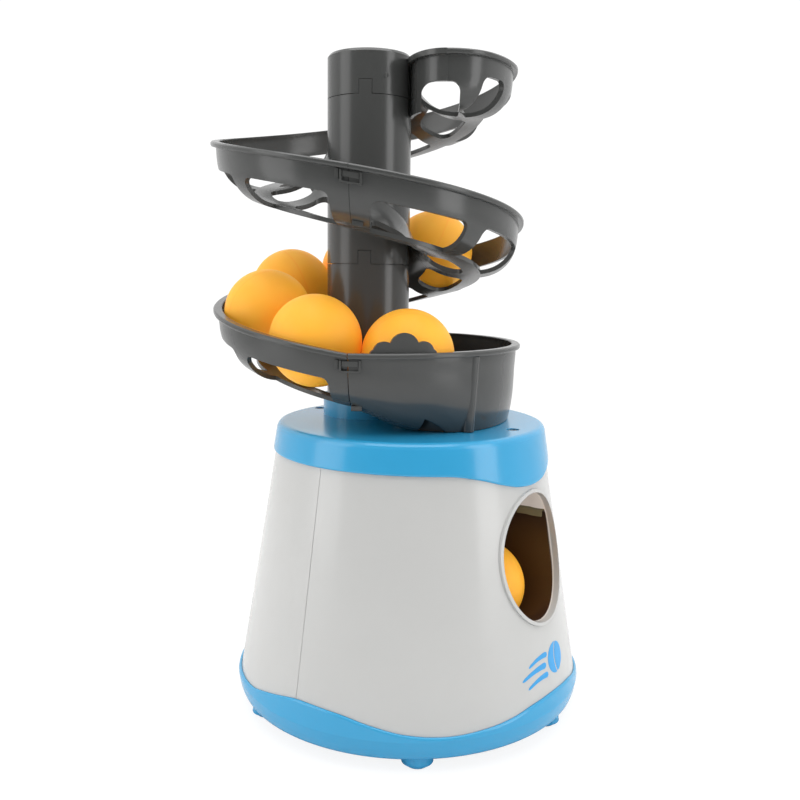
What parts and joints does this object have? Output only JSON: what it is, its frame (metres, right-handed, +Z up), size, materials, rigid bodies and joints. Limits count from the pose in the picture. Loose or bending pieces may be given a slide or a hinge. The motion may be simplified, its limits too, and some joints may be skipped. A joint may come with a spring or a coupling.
{
  "type": "table-tennis ball launcher",
  "caption": "Free-standing table-tennis ball launcher: spiral ball track on a column, funnel tray, conical housing with a sprung striker behind an oval opening.",
  "frame": {"origin": "centre of the base on the ground, under the feet", "axes": "+Z up, the launch opening faces -Y, +X to the right of the opening seen from behind"},
  "size_m": [0.1602, 0.1779, 0.2951],
  "materials": {
    "blue": "gloss",
    "white": "gloss",
    "grey": "satin",
    "ball": "matt",
    "steel": "satin",
    "acetal": "satin",
    "rubber": "matt",
    "brass": "satin",
    "black": "satin",
    "cell": "satin",
    "wire": "satin",
    "spring": "polished"
  },
  "bodies": {
    "base": {"base_pan": "blue", "base_screws": "steel", "front_shell": "white", "rear_shell": "white", "top_cap": "blue", "cap_screws": "steel", "launch_barrel": "grey", "gear_axles": "steel", "gearbox_left": "black", "gearbox_right": "black", "gearbox_screws": "steel", "motor_can": "steel", "motor_end_cap": "acetal", "cells": "cell", "cell_contacts": "spring", "switch_body": "black", "motor_leads": "wire", "funnel_tray": "grey"},
    "door": {"battery_door": "blue", "battery_door_screw": "steel"},
    "striker": {"striker": "acetal", "striker_cushion": "rubber", "striker_spring": "spring"},
    "crank": {"crank_wheel": "acetal"},
    "gear_3": {"gear_3": "acetal"},
    "gear_2": {"gear_2": "acetal"},
    "gear_1": {"gear_1": "acetal"},
    "pinion": {"motor_pinion": "brass", "motor_shaft": "steel"},
    "switch": {"switch_slider": "black"},
    "launched_ball": {"ball_in_barrel": "ball"},
    "next_ball": {"ball_next": "ball"},
    "lower_spiral": {"spiral_lower": "grey", "ball_queue": "ball"},
    "upper_spiral": {"spiral_upper": "grey"},
    "ring": {"top_ring": "grey"}
  },
  "joints": [
    {"name": "crank_turn", "type": "hinge", "parent": "base", "child": "crank", "pos_m": [0.012, 0.01399, 0.04953], "axis": [1, 0, 0], "continuous": true},
    {"name": "gear_3_turn", "type": "hinge", "parent": "base", "child": "gear_3", "pos_m": [0.012, 0.02367, 0.06107], "axis": [1, 0, 0], "continuous": true},
    {"name": "gear_2_turn", "type": "hinge", "parent": "base", "child": "gear_2", "pos_m": [0.012, 0.02157, 0.07294], "axis": [1, 0, 0], "continuous": true},
    {"name": "gear_1_turn", "type": "hinge", "parent": "base", "child": "gear_1", "pos_m": [0.012, 0.00951, 0.07294], "axis": [1, 0, 0], "continuous": true},
    {"name": "pinion_turn", "type": "hinge", "parent": "base", "child": "pinion", "pos_m": [0.012, 0.00348, 0.08339], "axis": [1, 0, 0], "continuous": true},
    {"name": "striker_stroke", "type": "slide", "parent": "base", "child": "striker", "axis": [0, -0.891, 0.454], "range_m": [0, 0.016], "stiffness_N_per_m": 45, "springref_m": 0.03, "deforming": ["striker_spring"]},
    {"name": "ball_launch", "type": "slide", "parent": "base", "child": "launched_ball", "axis": [0, -0.891, 0.454], "range_m": [0, 0.048]},
    {"name": "ball_roll", "type": "hinge", "parent": "base", "child": "next_ball", "pos_m": [0, 0.026, 0.163], "axis": [0, 0, 1], "range_deg": [0, 29.5]},
    {"name": "lower_lift", "type": "slide", "parent": "base", "child": "lower_spiral", "axis": [0, 0, 1], "range_m": [0, 0.06]},
    {"name": "upper_lift", "type": "slide", "parent": "lower_spiral", "child": "upper_spiral", "axis": [0, 0, 1], "range_m": [0, 0.06]},
    {"name": "ring_lift", "type": "slide", "parent": "upper_spiral", "child": "ring", "axis": [0, 0, 1], "range_m": [0, 0.04]},
    {"name": "door_release", "type": "slide", "parent": "base", "child": "door", "axis": [0, 0, -1], "range_m": [0, 0.035]},
    {"name": "switch_move", "type": "slide", "parent": "base", "child": "switch", "axis": [1, 0, 0], "range_m": [0, 0.005]}
  ],
  "couplings": [
    {"joint": "gear_3_turn", "follows": "crank_turn", "ratio": -4},
    {"joint": "gear_2_turn", "follows": "crank_turn", "ratio": 12},
    {"joint": "gear_1_turn", "follows": "crank_turn", "ratio": -36},
    {"joint": "pinion_turn", "follows": "crank_turn", "ratio": 108},
    {"joint": "ball_launch", "follows": "striker_stroke", "ratio": 3}
  ]
}
